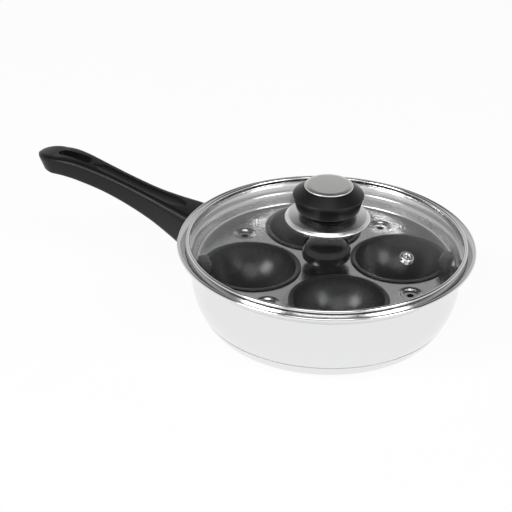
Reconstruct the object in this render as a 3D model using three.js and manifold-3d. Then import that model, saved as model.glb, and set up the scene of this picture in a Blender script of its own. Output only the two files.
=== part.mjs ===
// Egg poacher pan: a pan with a long handle, a tray that carries four cups, and a domed glass lid.
// Millimetres, +Z up. The origin is the middle of the underside and the handle points along -X.
// Every round piece is turned about its own axis from a half section of (radius, height) points.

import * as THREE from 'three';
import { mergeVertices } from 'three/addons/utils/BufferGeometryUtils.js';
import Module from 'manifold-3d';

const wasm = await Module();
wasm.setup();

// Fits
const GAP = 0.3;
const SHEET = 0.8;
const WELD = 0.0001;
const PAST = 2;

// Faces round a full turn
const PAN_SIDES = 44;
const TRAY_SIDES = PAN_SIDES;
const LID_SIDES = PAN_SIDES;
const CUP_SIDES = 24;
const KNOB_SIDES = 24;
const SMALL_SIDES = 12;
const BEND_STEPS = 4;
const CROWN_STEPS = 5;
const CORNER_STEPS = 2;
const HALVINGS = 14;
const COORDINATES = 3;

// Pan: base, wall, flared mouth and rolled bead
const WALL_R = 94.8;
const WALL_TOP = 47.6;
const FOOT_TUCK = 12.8;
const FOOT_R = WALL_R - FOOT_TUCK;
const FOOT_TOP = 34.6;
const FOOT_BEND = 17.3;
const FOOT_STEPS = 6;
const SEAM_Z = 9.4;
const SEAM_OPEN = 0.6;
const CORE_T = 5;
const FLARE_OUT = 8.8;
const FLARE_UP = 9;
const FLARE_STEPS = 2;
const FLARE_BEND_SHARE = { out: 0.43, up: 0.47 };
const BEAD_R = 1.4;
const BEAD_JOINS = { outside: 200, below: 225, inside: 495 };
const BEAD_STEPS = 6;

// Handle: length beyond the bead up to its round end, highest rise over the wall, and size at the root.
// The stations are shares of these four, going out.
const HANDLE_LONG = 116;
const HANDLE_RISE = 27.7;
const HANDLE_DEEP = 28.8;
const HANDLE_WIDE = 29;
const HANDLE_STATION_SHARES = [
  { out: -0.13, up: 0.267, deep: 1.25, wide: 1.24 },
  { out: -0.035, up: 0.329, deep: 1.135, wide: 1.145 },
  { out: 0.06, up: 0.383, deep: 1, wide: 1 },
  { out: 0.164, up: 0.437, deep: 0.854, wide: 0.845 },
  { out: 0.302, up: 0.531, deep: 0.705, wide: 0.683 },
  { out: 0.474, up: 0.682, deep: 0.604, wide: 0.621 },
  { out: 0.647, up: 0.838, deep: 0.556, wide: 0.648 },
  { out: 0.819, up: 0.971, deep: 0.549, wide: 0.766 },
  { out: 0.922, up: 1, deep: 0.528, wide: 0.855 },
  { out: 1, up: 0.975, deep: 0.507, wide: 0.876 },
];
const HANDLE_STEPS = 16;
const HANDLE_CORNERS = 16;
const HANDLE_SQUARENESS = 3.4;
const HANDLE_DRAFT_SHARE = 0.86;
const TIP_STEPS = 5;
const TIP_LAST_ANGLE = 84;
const TIP_LONG = 17.5;
const TIP_DROP = 3.4;
const TIP_LEAN_SHARE = 0.5;
const GROOVE_SHORT = 30;
const GROOVE = { from: 8, to: HANDLE_LONG - GROOVE_SHORT, deep: 1.1 };
const GROOVE_WIDTH_SHARE = 0.56;
const GROOVE_STEPS = 16;
const GROOVE_CORNERS = 12;
const SLOT_LONG = 28;
const SLOT = { from: HANDLE_LONG - SLOT_LONG, to: HANDLE_LONG, width: 8.6 };

// Bracket and screw that hold the handle
const TONGUE = { length: 26, thick: 2.6, width: 13, tilt: 16, drop: 8.6 };
const PLATE = { height: 18, thick: 1.6, width: 19 };
const HANDLE_SCREW = { reach: 19, head: 3.4, headTall: 2, shank: 1.9, above: 2.2, below: 3.4 };

// Tray, its four cup holes and its four steam dimples
const TRAY_LIP_OUT = 1.5;
const TRAY_LIP_R = WALL_R + TRAY_LIP_OUT;
const TRAY_DEEP = 10.1;
const TRAY_FLAT_IN = 5.6;
const TRAY_FLAT_R = WALL_R - TRAY_FLAT_IN;
const TRAY_RISE = 2.8;
const TRAY_LIP_DROP = 1.6;
const CUP_MARGIN = 1.7;
const CUPS_APART = 5.1;
const DIMPLE_R = 9;
const DIMPLE_IN = 19;
const DIMPLE_CIRCLE_R = TRAY_FLAT_R - DIMPLE_IN;
const DIMPLE_DEEP = 3;
const DIMPLE_FLOOR_R = 5;
const STEAM_HOLE_R = 2.6;
const QUARTERS = 4;
const FIRST_CUP_ANGLE = 36;
const FIRST_DIMPLE_ANGLE = -8;
const FULL_TURN = 360;

// Knob of the tray
const TRAY_KNOB = { foot: 10.5, waist: 10.2, bulge: 17.2, bulgeZ: 10.6, tall: 16.4, waistZ: 2.4 };

// Cups: the largest that leave room between two neighbours, with a bowl, a flange with its tab, and a grip
const CUP_FLANGE_R = ((TRAY_FLAT_R - CUP_MARGIN) * Math.SQRT2 - CUPS_APART) / (2 + Math.SQRT2);
const SEAT_CIRCLE_R = TRAY_FLAT_R - CUP_MARGIN - CUP_FLANGE_R;
const CUP_LEDGE = 3.35;
const CUP_MOUTH_R = CUP_FLANGE_R - CUP_LEDGE;
const CUP_PLAY = 0.7;
const SEAT_R = CUP_MOUTH_R + SHEET + CUP_PLAY;
const CUP_DEEP = 25;
const CUP_STEPS = 5;
const CUP_TURNS = [-30, 0, 8, -23];
const GRIP_IN = 1.35;
const GRIP = { reach: CUP_FLANGE_R - GRIP_IN, width: 16, depth: 8.4, tall: 8.8 };
const TAB_OUT = 2.8;
const TAB = { reach: GRIP.reach + TAB_OUT, width: 12 };
const GRIP_SQUARENESS = 2.6;
const GRIP_CORNERS = 12;
const GRIP_LEVEL_SHARES = [
  { up: 0, size: 0.88 },
  { up: 0.12, size: 0.97 },
  { up: 0.4, size: 1 },
  { up: 0.74, size: 0.95 },
  { up: 0.93, size: 0.78 },
  { up: 1, size: 0.5 },
];
const RIVET = { head: 2.2, shank: 1.3, sink: 0.6, tall: 5.6 };

// Lid: band, glass and vent
const BAND_OUT = 4.2;
const BAND_R = WALL_R + BAND_OUT;
const BAND_TALL = 7.5;
const BAND_ROLL_R = 1.4;
const BAND_FOOT = 3.7;
const BAND_CORNER = 0.6;
const BAND_TUCK = 0.9;
const GLASS_T = 2.6;
const GLASS_BED = 0.7;
const DOME_RISE = 22.5;
const DOME_STEPS = 5;
const VENT_IN = 32.7;
const VENT_CIRCLE_R = BAND_R - VENT_IN;
const VENT = { angle: -8.9, flange: 5, flangeThick: 0.9, flangeUp: 0.5, sleeve: 3.2, hole: 2 };

// Knob of the lid
const FLANGE = { outer: 29.9, edge: 0.9, lip: 27.5, lipUp: 1.5, neck: 17, rise: 5.4 };
const KNOB = { foot: 17.3, footUp: 0.9, step: 22.3, stepUp: 2.9, widest: 25, widestUp: 12.7 };
const KNOB_BROW = { radius: 24.6, up: 11.7 };
const KNOB_TOP = { radius: 17, up: 18.7 };
const CAP = { plug: 14.9, plugDeep: 1.1, edge: 17, edgeUp: 0.6, flat: 14.3, tall: 1.6 };
const GASKET_R = 9;

// Threaded fastenings of both knobs
const INSERT = { outer: 3.2, bore: 2, long: 9, start: 0.6, end: 0.8 };
const STUD = { shank: 1.7, hole: 2.1, long: 7.6, head: 4.2, headTall: 2.3 };
const WASHER = { outer: 8.6, thick: 0.8 };
const GASKET_SLEEVE_R = 4.4;

const finish = (color, roughness, metalness, more) =>
  new THREE.MeshStandardMaterial({ color, roughness, metalness, ...more });
const STEEL = finish('#d9dadb', 0.16, 1);
const BRUSHED = finish('#b9b9b7', 0.38, 1);
const ALUMINIUM = finish('#a9abad', 0.45, 1);
const BRASS = finish('#b58e46', 0.35, 1);
const PHENOLIC = finish('#1c1c1d', 0.42, 0);
const GLOSS_BLACK = finish('#101011', 0.14, 0);
const NON_STICK = finish('#2b2b2c', 0.5, 0);
const SILICONE = finish('#8f9091', 0.7, 0);
const GLASS = finish('#e6edee', 0.05, 0, { transparent: true, opacity: 0.35 });

// Helpers for outlines

function at(radius, height) {
  return new THREE.Vector2(radius, height);
}

function bent(start, bend, end, steps) {
  return new THREE.QuadraticBezierCurve(start, bend, end).getPoints(steps);
}

function arc(centre, radius, fromAngle, toAngle, steps) {
  const points = [];
  for (let step = 0; step <= steps; step += 1) {
    const angle = THREE.MathUtils.degToRad(THREE.MathUtils.lerp(fromAngle, toAngle, step / steps));
    points.push(at(centre.x + radius * Math.cos(angle), centre.y + radius * Math.sin(angle)));
  }
  return points;
}

// The same line moved to its left-hand side, with its corners kept sharp.
function shifted(line, distance) {
  const last = line.length - 1;
  return line.map((point, index) => {
    const before = line[Math.max(index - 1, 0)];
    const after = line[Math.min(index + 1, last)];
    const arriving = (index === 0 ? after.clone().sub(point) : point.clone().sub(before)).normalize();
    const leaving = (index === last ? arriving.clone() : after.clone().sub(point)).normalize();
    const normal = at(-arriving.y - leaving.y, arriving.x + leaving.x).normalize();
    const stretch = normal.dot(at(-leaving.y, leaving.x));
    return point.clone().addScaledVector(normal, distance / stretch);
  });
}

// A sheet of even thickness whose outer face is the line.
function sheet(line, thickness) {
  return [...line, ...shifted(line, thickness).reverse()];
}

function heightAt(line, radius) {
  const high = line.find((point) => point.x >= radius);
  const low = line[Math.max(line.indexOf(high) - 1, 0)];
  return low === high ? low.y : THREE.MathUtils.mapLinear(radius, low.x, high.x, low.y, high.y);
}

function radiusAt(line, height) {
  const high = line.find((point) => point.y >= height);
  const low = line[Math.max(line.indexOf(high) - 1, 0)];
  return low === high ? low.x : THREE.MathUtils.mapLinear(height, low.y, high.y, low.x, high.x);
}

// Helpers for solids

function solid(geometry) {
  const bare = geometry.clone();
  bare.deleteAttribute('normal');
  bare.deleteAttribute('uv');
  const merged = mergeVertices(bare, WELD);
  const corners = merged.index.array;
  const kept = [];
  for (let start = 0; start < corners.length; start += COORDINATES) {
    const face = Array.from(corners.slice(start, start + COORDINATES));
    if (new Set(face).size === COORDINATES) kept.push(...face);
  }
  const vertProperties = Float32Array.from(merged.attributes.position.array);
  const triVerts = Uint32Array.from(kept);
  return new wasm.Manifold(new wasm.Mesh({ numProp: COORDINATES, vertProperties, triVerts }));
}

function geometryOf(body) {
  const mesh = body.getMesh();
  const geometry = new THREE.BufferGeometry();
  geometry.setAttribute('position', new THREE.BufferAttribute(mesh.vertProperties, mesh.numProp));
  geometry.setIndex(Array.from(mesh.triVerts));
  geometry.computeVertexNormals();
  return geometry;
}

function piece(name, body, material) {
  const mesh = new THREE.Mesh(geometryOf(body), material);
  mesh.name = name;
  return mesh;
}

// A half section turned once about the upright axis. It closes on itself or on the axis.
function turned(outline, sides) {
  const onAxis = outline[0].x === 0;
  const points = onAxis ? outline : [...outline, outline[0].clone()];
  return new THREE.LatheGeometry(points, sides).rotateX(Math.PI / 2);
}

function disc(radius, bottom, top, sides) {
  return turned([at(0, bottom), at(radius, bottom), at(radius, top), at(0, top)], sides);
}

function ring(inner, outer, bottom, top, sides) {
  return turned([at(inner, bottom), at(outer, bottom), at(outer, top), at(inner, top)], sides);
}

// Rings of equal count joined one after the other, with both ends closed.
function lofted(rings) {
  const count = rings[0].length;
  const positions = rings.flat().flatMap((point) => point.toArray());
  const faces = [];
  for (let level = 1; level < rings.length; level += 1) {
    for (let corner = 0; corner < count; corner += 1) {
      const next = (corner + 1) % count;
      const below = (level - 1) * count;
      const above = level * count;
      faces.push(below + corner, below + next, above + next);
      faces.push(below + corner, above + next, above + corner);
    }
  }
  const lastRing = (rings.length - 1) * count;
  for (let corner = 1; corner < count - 1; corner += 1) {
    faces.push(0, corner + 1, corner);
    faces.push(lastRing, lastRing + corner, lastRing + corner + 1);
  }
  const geometry = new THREE.BufferGeometry();
  geometry.setAttribute('position', new THREE.Float32BufferAttribute(positions, COORDINATES));
  geometry.setIndex(faces);
  return geometry;
}

// Share of the half size that a rounded square has at an angle; 2 gives a circle, more is squarer.
function squared(value, squareness) {
  return Math.sign(value) * Math.abs(value) ** (2 / squareness);
}

function upright(shape, bottom, top) {
  const options = { depth: top - bottom, bevelEnabled: false, curveSegments: SMALL_SIDES / 2 };
  return new THREE.ExtrudeGeometry(shape, options).translate(0, 0, bottom);
}

function box(width, depth, height) {
  return new THREE.BoxGeometry(width, depth, height);
}

function quarterAngle(first, index) {
  return THREE.MathUtils.degToRad(first + (index * FULL_TURN) / QUARTERS);
}

function round(centreRadius, angle) {
  return { x: centreRadius * Math.cos(angle), y: centreRadius * Math.sin(angle) };
}

// Pan body

const BODY_Z = SHEET + GAP + CORE_T + GAP;
const BEAD_CENTRE = at(WALL_R + FLARE_OUT, WALL_TOP + FLARE_UP);
const RIM_R = BEAD_CENTRE.x + BEAD_R;

function beadPoint(angle) {
  return arc(BEAD_CENTRE, BEAD_R, angle, angle, 1)[0];
}

function flareBend() {
  const out = WALL_R + FLARE_OUT * FLARE_BEND_SHARE.out;
  return at(out, WALL_TOP + FLARE_UP * FLARE_BEND_SHARE.up);
}

function footCurve(steps) {
  return bent(at(FOOT_R, 0), at(WALL_R, FOOT_BEND), at(WALL_R, FOOT_TOP), steps);
}

const FOOT_LINE = footCurve(FOOT_STEPS * 2);

function footPoint(height) {
  return at(radiusAt(FOOT_LINE, height), height);
}

// Outside of the wall from a given height in the foot up to the bead.
function wallLine(bottom) {
  const foot = footCurve(FOOT_STEPS).filter((point) => point.y > bottom + SHEET);
  const flare = bent(at(WALL_R, WALL_TOP), flareBend(), beadPoint(BEAD_JOINS.outside), FLARE_STEPS);
  return [footPoint(bottom), ...foot, ...flare];
}

// Room inside the wall of the base's capsule, where body and core meet it.
function capRoom(height) {
  return at(radiusAt(FOOT_LINE, height) - SHEET - GAP * 2, height);
}

// Underside of the body: flat, then up inside the capsule to a shelf over the capsule's edge.
const SHELF_Z = SEAM_Z + SEAM_OPEN / 2;
const BODY_UNDER = [at(0, BODY_Z), capRoom(BODY_Z), capRoom(SHELF_Z)];

function panInside() {
  const inside = shifted([...BODY_UNDER, ...wallLine(SHELF_Z).slice(1)], SHEET);
  inside[0].x = 0;
  inside[inside.length - 1] = beadPoint(BEAD_JOINS.inside);
  return inside;
}

const PAN_INSIDE = panInside();

function panShell() {
  const bead = arc(BEAD_CENTRE, BEAD_R, BEAD_JOINS.outside, BEAD_JOINS.inside, BEAD_STEPS);
  const outside = [...BODY_UNDER, ...wallLine(SHELF_Z).slice(0, -1), ...bead];
  return solid(turned([...outside, ...PAN_INSIDE.slice(0, -1).reverse()], PAN_SIDES));
}

function baseCore() {
  const bottom = capRoom(SHEET + GAP);
  const top = capRoom(BODY_Z - GAP);
  return solid(turned([at(0, bottom.y), bottom, top, at(0, top.y)], PAN_SIDES));
}

function baseCap() {
  const top = footPoint(SEAM_Z - SEAM_OPEN / 2);
  const foot = FOOT_LINE.filter((point) => point.y < top.y - SHEET);
  const outside = [at(0, 0), ...foot, top];
  const inside = shifted(outside, SHEET);
  inside[0].x = 0;
  inside[inside.length - 1] = at(top.x - SHEET, top.y);
  return solid(turned([...outside, ...inside.reverse()], PAN_SIDES));
}

// Everything within the pan's outside and a gap round it, to shape what stands against it.
function panEnvelope() {
  const bead = arc(BEAD_CENTRE, BEAD_R + GAP, BEAD_JOINS.below, FULL_TURN, BEAD_STEPS / 2);
  const wall = shifted(wallLine(0), -GAP);
  const roof = BEAD_CENTRE.y + FLARE_UP * PAST;
  const outline = [at(0, -GAP), ...wall.slice(0, -1), ...bead, at(RIM_R + GAP, roof), at(0, roof)];
  return solid(turned(outline, PAN_SIDES));
}

// Handle

const HANDLE_SPINE = new THREE.CatmullRomCurve3(
  HANDLE_STATION_SHARES.map(
    ({ out, up, deep }) => new THREE.Vector3(out * HANDLE_LONG, up * HANDLE_RISE, deep * HANDLE_DEEP),
  ),
  false,
  'catmullrom',
);
const HANDLE_WIDTHS = new THREE.SplineCurve(
  HANDLE_STATION_SHARES.map(({ out, wide }) => at(out * HANDLE_LONG, wide * HANDLE_WIDE)),
);

function handleAt(share) {
  const spine = HANDLE_SPINE.getPoint(share);
  const width = HANDLE_WIDTHS.getPoint(share).y;
  return { reach: spine.x, top: WALL_TOP + spine.y, depth: spine.z, width };
}

// The share of the handle's length at a given reach, found by halving.
function shareOf(reach) {
  let low = 0;
  let high = 1;
  for (let halving = 0; halving < HALVINGS; halving += 1) {
    const middle = (low + high) / 2;
    if (handleAt(middle).reach < reach) low = middle;
    else high = middle;
  }
  return low;
}

function handleRing(section, lean) {
  const ringPoints = [];
  for (let corner = 0; corner < HANDLE_CORNERS; corner += 1) {
    const angle = -((corner + 1 / 2) / HANDLE_CORNERS) * Math.PI * 2;
    const across = squared(Math.cos(angle), HANDLE_SQUARENESS);
    const up = squared(Math.sin(angle), HANDLE_SQUARENESS);
    const below = ((1 - up) / 2) * section.depth;
    const draft = THREE.MathUtils.lerp(1, HANDLE_DRAFT_SHARE, (1 - up) / 2);
    const x = -RIM_R - section.reach + below * lean;
    ringPoints.push(new THREE.Vector3(x, (across * draft * section.width) / 2, section.top - below));
  }
  return ringPoints;
}

function handleBlank() {
  const rings = [];
  for (let step = 0; step <= HANDLE_STEPS; step += 1) {
    rings.push(handleRing(handleAt(step / HANDLE_STEPS), 0));
  }
  const last = handleAt(1);
  for (let step = 1; step <= TIP_STEPS; step += 1) {
    const angle = THREE.MathUtils.degToRad((step / TIP_STEPS) * TIP_LAST_ANGLE);
    const reach = last.reach + TIP_LONG * Math.sin(angle);
    const drop = TIP_DROP * (1 - Math.cos(angle));
    const width = last.width * Math.cos(angle);
    const section = { reach, top: last.top - drop, depth: last.depth - drop, width };
    rings.push(handleRing(section, TIP_LEAN_SHARE * Math.sin(angle)));
  }
  return solid(lofted(rings));
}

// Shallow thumb groove that follows the top face and ends in a half circle.
function grooveTool() {
  const rings = [];
  const middle = (GROOVE.from + GROOVE.to) / 2;
  const half = (GROOVE.to - GROOVE.from) / 2;
  for (let step = 1; step < GROOVE_STEPS; step += 1) {
    const turn = Math.PI * (step / GROOVE_STEPS);
    const reach = middle - half * Math.cos(turn);
    const section = handleAt(shareOf(reach));
    const taper = Math.min(1, Math.sqrt((half - Math.abs(reach - middle)) * 2 / section.width));
    rings.push(grooveRing(section, taper));
  }
  return solid(lofted(rings));
}

function grooveRing(section, taper) {
  const ringPoints = [];
  for (let corner = 0; corner < GROOVE_CORNERS; corner += 1) {
    const angle = -(corner / GROOVE_CORNERS) * Math.PI * 2;
    const across = (Math.cos(angle) * taper * GROOVE_WIDTH_SHARE * section.width) / 2;
    const up = Math.sin(angle) * GROOVE.deep;
    ringPoints.push(new THREE.Vector3(-RIM_R - section.reach, across, section.top + up));
  }
  return ringPoints;
}

function slotTool() {
  const radius = SLOT.width / 2;
  const shape = new THREE.Shape();
  shape.absarc(-RIM_R - SLOT.to + radius, 0, radius, Math.PI / 2, -Math.PI / 2, false);
  shape.absarc(-RIM_R - SLOT.from - radius, 0, radius, -Math.PI / 2, Math.PI / 2, false);
  return solid(upright(shape, WALL_TOP, WALL_TOP + HANDLE_RISE * PAST));
}

// Places in the tilted frame of the bracket's tongue, out along the handle from the wall.
const TONGUE_ROOT = new THREE.Vector3(-WALL_R - GAP, 0, WALL_TOP - TONGUE.drop);
const TONGUE_TILT = THREE.MathUtils.degToRad(TONGUE.tilt);

function onTongue(geometry, reach, above) {
  geometry.translate(-reach, 0, above).rotateY(TONGUE_TILT);
  return geometry.translate(TONGUE_ROOT.x, TONGUE_ROOT.y, TONGUE_ROOT.z);
}

function bracketBlank(room) {
  const length = TONGUE.length + room * 2;
  const tongue = box(length * 2, TONGUE.width + room * 2, TONGUE.thick + room * 2);
  const depth = (PLATE.thick + room) * 2 + PLATE.width;
  const plate = box(depth, PLATE.width + room * 2, PLATE.height + room * 2);
  plate.translate(-WALL_R - PLATE.thick - room - GAP + depth / 2, 0, TONGUE_ROOT.z);
  return solid(onTongue(tongue, 0, 0)).add(solid(plate));
}

function screwHole(radius, bottom, top) {
  return solid(onTongue(disc(radius, bottom, top, SMALL_SIDES), HANDLE_SCREW.reach, 0));
}

function handle(envelope) {
  const low = -HANDLE_DEEP;
  const headRoom = -TONGUE.thick / 2 - HANDLE_SCREW.below;
  return handleBlank()
    .subtract(envelope)
    .subtract(grooveTool())
    .subtract(slotTool())
    .subtract(bracketBlank(GAP))
    .subtract(screwHole(HANDLE_SCREW.shank + GAP, low, HANDLE_SCREW.above + TONGUE.thick))
    .subtract(screwHole(HANDLE_SCREW.head + GAP, low, headRoom));
}

function handleBracket(envelope) {
  const hole = screwHole(HANDLE_SCREW.shank + GAP, -TONGUE.thick * 2, TONGUE.thick * 2);
  return bracketBlank(0).subtract(envelope).subtract(hole);
}

function handleScrew() {
  const { head, headTall, shank, above, below } = HANDLE_SCREW;
  const headTop = -TONGUE.thick / 2 - below - GAP;
  const top = TONGUE.thick / 2 + above;
  const bottom = headTop - headTall;
  const headLine = [at(0, bottom), at(head, bottom), at(head, headTop)];
  const outline = [...headLine, at(shank, headTop), at(shank, top), at(0, top)];
  return solid(onTongue(turned(outline, SMALL_SIDES), HANDLE_SCREW.reach, 0));
}

// Tray, in its own frame with the flat top at 0

const TRAY_Z = heightAt(PAN_INSIDE.slice(2), TRAY_LIP_R) + GAP + SHEET - TRAY_DEEP;

function trayBlank() {
  const riseTop = TRAY_DEEP - TRAY_LIP_DROP;
  const riseR = TRAY_FLAT_R + TRAY_RISE;
  const foot = bent(at(TRAY_FLAT_R, 0), at(riseR, 0), at(riseR + GAP, riseTop / 2), CORNER_STEPS);
  const lipFoot = at(riseR + GAP * 2, riseTop - SHEET);
  const lip = bent(lipFoot, at(riseR + SHEET, riseTop), at(TRAY_LIP_R, TRAY_DEEP), CORNER_STEPS);
  const top = [at(STUD.hole, 0), ...foot, ...lip];
  const under = shifted(top, -SHEET);
  under[0].x = STUD.hole;
  under[under.length - 1] = at(TRAY_LIP_R, TRAY_DEEP - SHEET);
  return solid(turned([...under, ...top.reverse()], TRAY_SIDES));
}

function dimple() {
  const edge = DIMPLE_R + SHEET;
  const floor = at(DIMPLE_FLOOR_R, -DIMPLE_DEEP);
  const slope = bent(floor, at(DIMPLE_FLOOR_R + SHEET, 0), at(DIMPLE_R, 0), CORNER_STEPS);
  const top = [at(STEAM_HOLE_R, -DIMPLE_DEEP), ...slope, at(edge, 0)];
  const under = top.map((point) => at(point.x, point.y - SHEET));
  return turned([...under, ...top.reverse()], SMALL_SIDES);
}

function tray() {
  let body = trayBlank();
  for (let index = 0; index < QUARTERS; index += 1) {
    const seat = round(SEAT_CIRCLE_R, quarterAngle(FIRST_CUP_ANGLE, index));
    const spot = round(DIMPLE_CIRCLE_R, quarterAngle(FIRST_DIMPLE_ANGLE, index));
    const seatHole = disc(SEAT_R, -SHEET * PAST, SHEET * PAST, CUP_SIDES).translate(seat.x, seat.y, 0);
    const spotHole = disc(DIMPLE_R, -SHEET * PAST, SHEET * PAST, SMALL_SIDES).translate(spot.x, spot.y, 0);
    body = body.subtract(solid(seatHole)).subtract(solid(spotHole));
    body = body.add(solid(dimple().translate(spot.x, spot.y, 0)));
  }
  return body;
}

function insert(bottom) {
  const { outer, bore, long, end } = INSERT;
  const top = bottom + long;
  const hollow = [at(0, top - end), at(bore, top - end), at(bore, bottom)];
  return solid(turned([...hollow, at(outer, bottom), at(outer, top), at(0, top)], SMALL_SIDES));
}

// Screw from below whose head's upper face is at the given height.
function stud(headTop, shankTop) {
  const { head, headTall, shank } = STUD;
  const bottom = headTop - headTall;
  const rounded = bent(at(0, bottom), at(head, bottom), at(head, headTop), BEND_STEPS);
  return solid(turned([...rounded, at(shank, headTop), at(shank, shankTop), at(0, shankTop)], SMALL_SIDES));
}

function boreFor(bottom) {
  const top = bottom + INSERT.start + INSERT.long + GAP;
  return solid(disc(INSERT.outer + GAP, bottom - PAST, top, SMALL_SIDES));
}

function trayKnob() {
  const { foot, waist, bulge, bulgeZ, tall, waistZ } = TRAY_KNOB;
  const neck = bent(at(waist, waistZ), at(bulge, waistZ), at(bulge, bulgeZ), BEND_STEPS);
  const crown = bent(at(bulge, bulgeZ), at(bulge, tall), at(0, tall), CROWN_STEPS);
  const outline = [at(0, 0), at(foot, 0), ...neck, ...crown.slice(1)];
  return solid(turned(outline, KNOB_SIDES)).subtract(boreFor(0));
}

// Cup, in its own frame with the flange's underside at 0 and its tab along +X

function cupBowl() {
  const outside = [];
  const wallR = CUP_MOUTH_R + SHEET;
  const sphereR = (wallR ** 2 + CUP_DEEP ** 2) / (CUP_DEEP * 2);
  const reach = Math.asin(wallR / sphereR);
  for (let step = 0; step <= CUP_STEPS; step += 1) {
    const angle = reach * (step / CUP_STEPS);
    outside.push(at(sphereR * Math.sin(angle), sphereR * (1 - Math.cos(angle)) - CUP_DEEP));
  }
  const flange = [at(wallR + GAP, 0), at(CUP_FLANGE_R, 0)];
  const inside = shifted(outside, SHEET);
  inside[0].x = 0;
  inside[CUP_STEPS] = at(inside[CUP_STEPS].x - GAP, SHEET);
  const outline = [...outside.slice(0, -1), ...flange, at(CUP_FLANGE_R, SHEET), ...inside.reverse()];
  return solid(turned(outline, CUP_SIDES));
}

function cupTab() {
  const from = CUP_MOUTH_R + SHEET * PAST;
  const tab = box(TAB.reach - from, TAB.width, SHEET);
  return solid(tab.translate((TAB.reach + from) / 2, 0, SHEET / 2));
}

function rivetOutline(room) {
  const { head, shank, sink, tall } = RIVET;
  const top = tall + room;
  return [at(0, -room), at(head + room, -room), at(shank + room, sink), at(shank + room, top), at(0, top)];
}

function rivetBody(room, lift) {
  return solid(turned(rivetOutline(room), SMALL_SIDES).translate(GRIP.reach, 0, lift));
}

function cup() {
  return cupBowl().add(cupTab()).subtract(rivetBody(GAP, 0));
}

function grip() {
  const rings = GRIP_LEVEL_SHARES.map(({ up, size }) => {
    const ringPoints = [];
    for (let corner = 0; corner < GRIP_CORNERS; corner += 1) {
      const angle = (corner / GRIP_CORNERS) * Math.PI * 2;
      const x = GRIP.reach + (squared(Math.cos(angle), GRIP_SQUARENESS) * size * GRIP.depth) / 2;
      const y = (squared(Math.sin(angle), GRIP_SQUARENESS) * size * GRIP.width) / 2;
      ringPoints.push(new THREE.Vector3(x, y, SHEET + GAP + up * GRIP.tall));
    }
    return ringPoints;
  });
  return solid(lofted(rings)).subtract(rivetBody(GAP, 0));
}

// Lid, in its own frame with the underside of the band at 0

const LID_Z = heightAt(PAN_INSIDE.slice(2), BAND_R - BAND_CORNER) + GAP;
const GLASS_R = BAND_R - SHEET - GAP;
const APEX_Z = SHEET + GLASS_BED + GLASS_T + DOME_RISE;

function domeZ(radius) {
  return APEX_Z - DOME_RISE * (radius / GLASS_R) ** 2;
}

function lidRim() {
  const rollZ = BAND_TALL - BAND_ROLL_R;
  const corner = [at(BAND_R - BAND_CORNER, 0), at(BAND_R, BAND_CORNER)];
  const roll = arc(at(BAND_R - BAND_ROLL_R, rollZ), BAND_ROLL_R, 0, FULL_TURN / 2, BEND_STEPS);
  const tuck = at(BAND_R - BAND_ROLL_R * 2, rollZ - BAND_TUCK);
  return solid(turned(sheet([at(BAND_R - BAND_FOOT, 0), ...corner, ...roll, tuck], SHEET), LID_SIDES));
}

function lidGlass() {
  const top = [];
  for (let step = 0; step <= DOME_STEPS; step += 1) {
    const radius = THREE.MathUtils.lerp(GASKET_SLEEVE_R + GAP, GLASS_R, step / DOME_STEPS);
    top.push(at(radius, domeZ(radius)));
  }
  const under = top.map((point) => at(point.x, point.y - GLASS_T));
  const dome = solid(turned([...under, ...top.reverse()], LID_SIDES));
  return dome.subtract(solid(onVent(disc(VENT.sleeve + GAP, -GLASS_T * PAST, GLASS_T, SMALL_SIDES))));
}

// Places a shape made about the Z axis square on the dome, where the vent is.
function onVent(geometry) {
  const slope = (DOME_RISE * 2 * VENT_CIRCLE_R) / GLASS_R ** 2;
  geometry.rotateY(Math.atan(slope)).translate(VENT_CIRCLE_R, 0, domeZ(VENT_CIRCLE_R));
  return geometry.rotateZ(THREE.MathUtils.degToRad(VENT.angle));
}

function ventEyelet() {
  const { flange, flangeThick, flangeUp, sleeve, hole } = VENT;
  const top = flangeUp;
  const bottom = -GLASS_T - flangeUp;
  const under = [at(hole, bottom - flangeThick), at(flange, bottom - flangeThick), at(flange, bottom)];
  const over = [at(flange, top), at(flange, top + flangeThick), at(hole, top + flangeThick)];
  return solid(onVent(turned([...under, at(sleeve, bottom), at(sleeve, top), ...over], SMALL_SIDES)));
}

const FLANGE_Z = domeZ(FLANGE.outer) + GAP;
const KNOB_Z = FLANGE_Z + FLANGE.rise + GAP;

function knobFlange() {
  const { outer, edge, lip, lipUp, neck, rise } = FLANGE;
  const skirt = [at(outer, FLANGE_Z), at(outer, FLANGE_Z + edge), at(lip, FLANGE_Z + lipUp)];
  const line = [...skirt, at(neck, FLANGE_Z + rise), at(STUD.hole, FLANGE_Z + rise)];
  const outline = sheet(line, SHEET);
  outline[outline.length - 1].y = FLANGE_Z;
  return solid(turned(outline, KNOB_SIDES));
}

function knobBody() {
  const { foot, footUp, step, stepUp, widest, widestUp } = KNOB;
  const floorUp = KNOB_TOP.up - CAP.plugDeep - GAP;
  const side = [at(step, stepUp), at(KNOB_BROW.radius, KNOB_BROW.up), at(widest, widestUp)];
  const recess = [at(CAP.plug + GAP, KNOB_TOP.up), at(CAP.plug + GAP, floorUp), at(0, floorUp)];
  const foothold = [at(0, 0), at(foot, 0), at(foot, footUp)];
  const outline = [...foothold, ...side, at(KNOB_TOP.radius, KNOB_TOP.up), ...recess];
  return solid(turned(outline, KNOB_SIDES)).subtract(boreFor(0));
}

function knobCap() {
  const { plug, plugDeep, edge, edgeUp, flat, tall } = CAP;
  const rim = bent(at(edge, GAP + edgeUp), at(edge, GAP + tall), at(flat, GAP + tall), BEND_STEPS);
  const spigot = [at(0, -plugDeep), at(plug, -plugDeep), at(plug, GAP)];
  const outline = [...spigot, at(edge, GAP), ...rim, at(0, GAP + tall)];
  return solid(turned(outline, KNOB_SIDES));
}

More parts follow.
